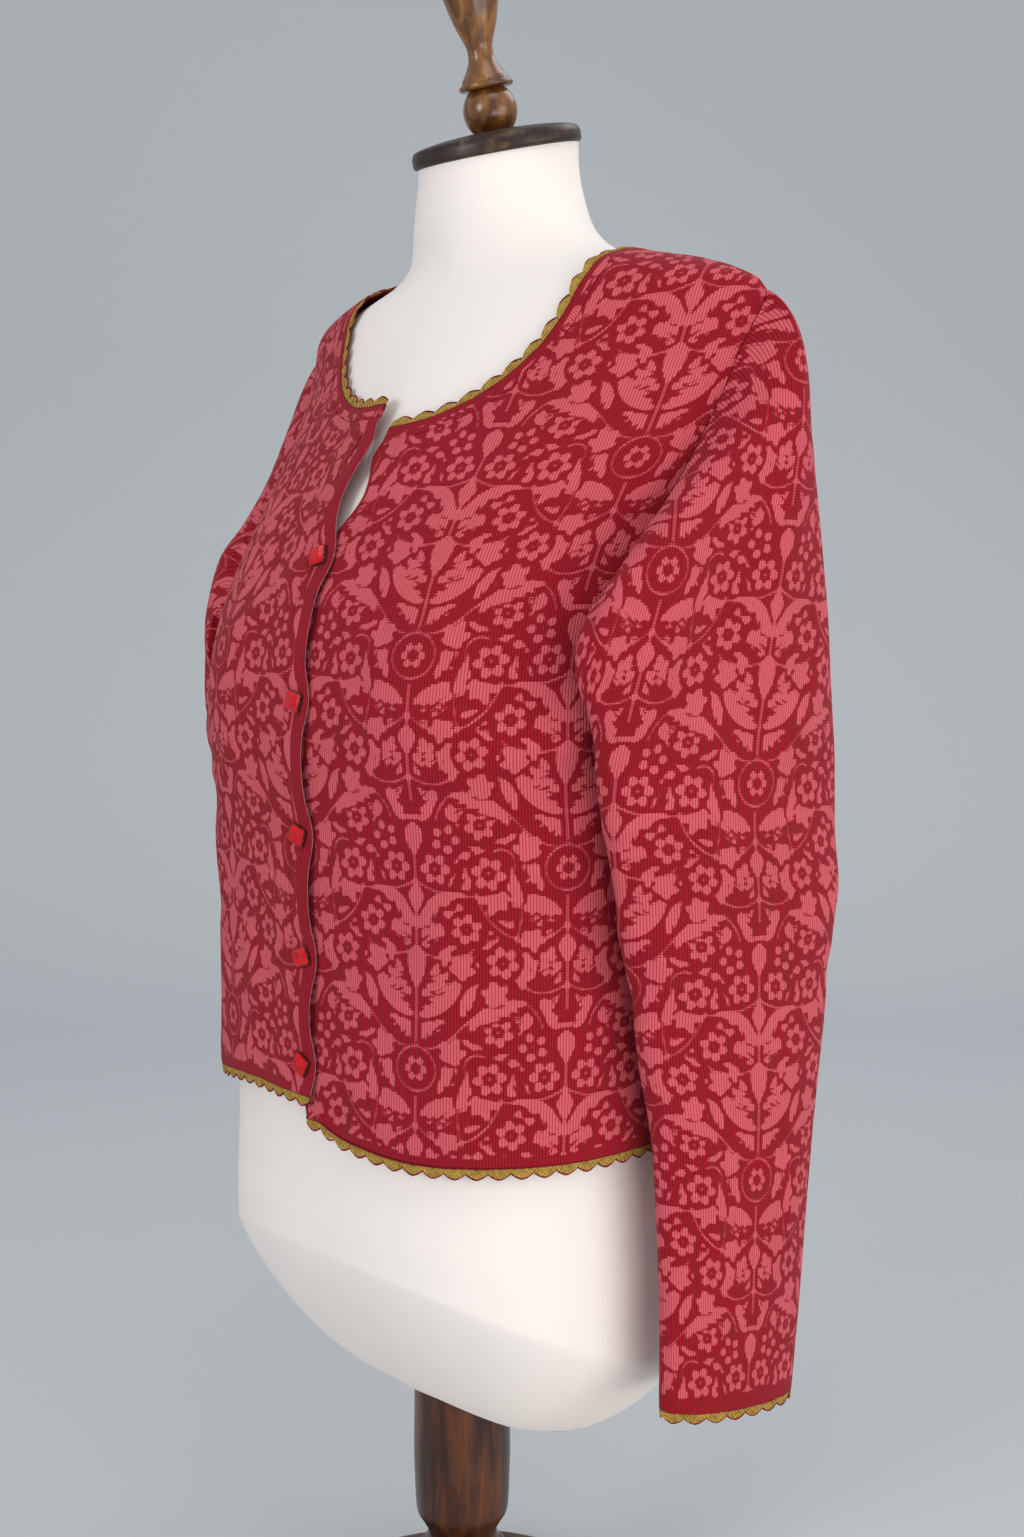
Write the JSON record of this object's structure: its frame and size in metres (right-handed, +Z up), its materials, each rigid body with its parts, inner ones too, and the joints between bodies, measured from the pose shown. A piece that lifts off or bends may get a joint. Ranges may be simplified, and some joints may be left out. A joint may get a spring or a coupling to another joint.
{
  "type": "button cardigan on a limbless dress form",
  "caption": "Long-sleeved scoop-neck knitted cardigan with a crocheted scallop edge, buttoned over a jersey dress form on a turned wooden stand.",
  "frame": {"origin": "centre of the base plate's underside, on the stand's axis", "axes": "+Z up, the wearer's front faces -Y, the wearer's left is +X"},
  "size_m": [0.4575, 0.2684, 1.1048],
  "materials": {
    "jacquard_knit": "fine two-colour jacquard wool knit, crimson ground with dusty pink leaves and flowers, matt",
    "plain_knit": "plain crimson wool knit, matt",
    "crochet_edge": "olive-gold crocheted yarn with a thin crimson outer thread, matt",
    "red_glaze": "glossy red faceted tile with a dark metallic rim",
    "cream_jersey": "off-white stretch jersey, matt, smooth",
    "dark_wood": "dark brown stained wood, satin, worn at the edges",
    "red_brown_wood": "dark red-brown varnished wood, semi-gloss",
    "honey_wood": "honey-brown varnished wood, semi-gloss"
  },
  "bodies": {
    "root": {"front_left": "jacquard_knit", "front_right": "jacquard_knit", "back": "jacquard_knit", "sleeve_left": "jacquard_knit", "sleeve_right": "jacquard_knit", "button_band": "plain_knit", "buttonhole_band": "plain_knit", "neckband": "plain_knit", "neck_trim": "crochet_edge", "hem_trim": "crochet_edge", "cuff_trim_left": "crochet_edge", "cuff_trim_right": "crochet_edge", "button_1": "red_glaze", "button_2": "red_glaze", "button_3": "red_glaze", "button_4": "red_glaze", "button_5": "red_glaze", "form_torso": "cream_jersey", "neck_cap": "dark_wood", "column": "red_brown_wood", "base": "red_brown_wood", "finial": "honey_wood"}
  },
  "joints": []
}
